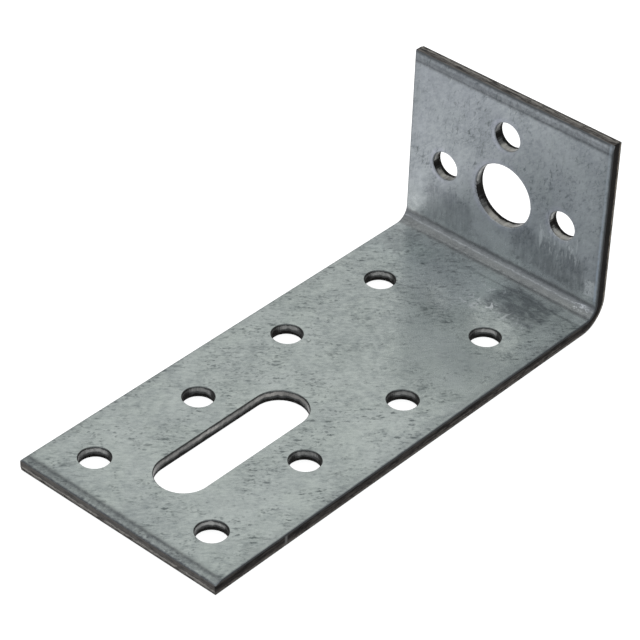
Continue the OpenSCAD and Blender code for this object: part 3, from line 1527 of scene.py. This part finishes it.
@dataclass(frozen=True)
class PhotoCamera:
    """The photograph's view of the bracket. Places are in millimetres, and clip is in metres."""

    name: str = "photo_view"
    eye: Triple = (267.72, 228.43, 278.42)
    aim: Triple = (-1.21, -2.09, 12.36)
    roll_degrees: float = 2.167
    lens: float = 163.257
    sensor: float = 36.0
    clip: Span = (0.01, 20.0)

    def build(self) -> bpy.types.Object:
        """Make the scene's camera.

        Returns:
            The camera.
        """
        data = bpy.data.cameras.new(self.name)
        data.lens = self.lens
        data.sensor_width = self.sensor
        data.clip_start, data.clip_end = self.clip
        camera = bpy.data.objects.new(self.name, data)
        bpy.context.scene.collection.objects.link(camera)
        sight = Vector(self.aim) - Vector(self.eye)
        upright = sight.to_track_quat("-Z", "Y")
        camera.rotation_mode = "QUATERNION"
        camera.rotation_quaternion = upright @ Quaternion((0.0, 0.0, 1.0), math.radians(self.roll_degrees))
        camera.location = Vector(self.eye) * MM
        bpy.context.scene.camera = camera
        return camera


@dataclass(frozen=True)
class SoftBox:
    """A square soft light that looks at the bracket. Places are in millimetres."""

    name: str
    place: Triple
    side: float
    watts: float

    def build(self) -> bpy.types.Object:
        """Make the light.

        Returns:
            The light.
        """
        data = bpy.data.lights.new(self.name, "AREA")
        data.shape = "SQUARE"
        data.size = self.side * MM
        data.energy = self.watts
        lamp = bpy.data.objects.new(self.name, data)
        bpy.context.scene.collection.objects.link(lamp)
        lamp.location = Vector(self.place) * MM
        lamp.rotation_mode = "QUATERNION"
        lamp.rotation_quaternion = (-Vector(self.place)).to_track_quat("-Z", "Y")
        return lamp


@dataclass(frozen=True)
class LightTable:
    """The pale glowing table that the bracket lies on. Lengths are in millimetres."""

    name: str = "light_table"
    side: float = 6000.0
    drop: float = 0.2
    colour: Colour = (0.42, 0.42, 0.42)
    rough: float = 0.9
    specular: float = 0.1
    glow_colour: Colour = (1.0, 1.0, 1.0)
    glow: float = 0.80

    def build(self) -> bpy.types.Object:
        """Make the table, just below the bracket.

        Returns:
            The table.
        """
        half = self.side * MM / 2
        low = -self.drop * MM
        mesh = bpy.data.meshes.new(self.name)
        corners = [(-half, -half, low), (half, -half, low), (half, half, low), (-half, half, low)]
        mesh.from_pydata(corners, [], [(0, 1, 2, 3)])
        mesh.materials.append(self.material())
        table = bpy.data.objects.new(self.name, mesh)
        bpy.context.scene.collection.objects.link(table)
        return table

    def material(self) -> bpy.types.Material:
        """Make the table's material, which is clear when seen from below.

        Returns:
            The material.
        """
        made = bpy.data.materials.new(self.name)
        made.use_nodes = True
        g = Graph(made.node_tree)
        shader = made.node_tree.nodes["Principled BSDF"]
        g.feed_all(shader, {
            "Base Color": self.colour,
            "Roughness": self.rough,
            "Specular IOR Level": self.specular,
            "Emission Color": self.glow_colour,
            "Emission Strength": self.glow,
        })
        shown = g.node("MixShader")
        g.feed(shown.inputs[0], g.node("NewGeometry").outputs["Backfacing"])
        g.feed(shown.inputs[1], shader.outputs[0])
        g.feed(shown.inputs[2], g.node("BsdfTransparent").outputs[0])
        g.feed(made.node_tree.nodes["Material Output"].inputs["Surface"], shown.outputs[0])
        return made


@dataclass(frozen=True)
class Room:
    """A soft pale room, brighter one way than the other."""

    name: str = "studio_room"
    bright: Colour = (0.85, 0.85, 0.84)
    dim: Colour = (0.74, 0.77, 0.86)
    bright_way: Triple = (-0.55, -0.45, 0.70)
    turn: Fade = Fade(-0.6, 0.8)

    def build(self) -> bpy.types.World:
        """Light the scene from all round.

        Returns:
            The scene's new world.
        """
        world = bpy.data.worlds.new(self.name)
        bpy.context.scene.world = world
        world.use_nodes = True
        world.node_tree.nodes.clear()
        g = Graph(world.node_tree)
        towards = tuple(Vector(self.bright_way).normalized())
        turned = g.fade(g.dot(g.node("TexCoord").outputs["Generated"], towards), self.turn)
        back = g.node("Background")
        g.feed(back.inputs["Color"], g.mix(turned, self.dim, self.bright))
        g.feed(g.node("OutputWorld").inputs["Surface"], back.outputs[0])
        return world


@dataclass(frozen=True)
class Studio:
    """The light table, the room and the soft box over the bracket."""

    table: LightTable = LightTable()
    room: Room = Room()
    box: SoftBox = SoftBox("overhead", (-60.0, -60.0, 640.0), 620.0, 1.3)
    colours: str = "Standard"

    def build(self) -> list[str]:
        """Make the studio.

        Returns:
            The names of what was made.
        """
        bpy.context.scene.view_settings.view_transform = self.colours
        return [made.name for made in (self.table.build(), self.room.build(), self.box.build())]


def main() -> None:
    """Set up the view, dress the bracket and build the studio round it."""
    logging.basicConfig(level=logging.INFO, format="%(name)s: %(message)s")
    camera = PhotoCamera().build()
    LOG.info("camera %s, lens %.1f mm", camera.name, camera.data.lens)
    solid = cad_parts["bracket"]
    BracketLook(StripShape.from_frame()).dress(solid)
    LOG.info("piece %s dressed, %d faces", solid.name, len(solid.data.polygons))
    LOG.info("studio: %s", ", ".join(Studio().build()))


if __name__ == "__main__":
    main()
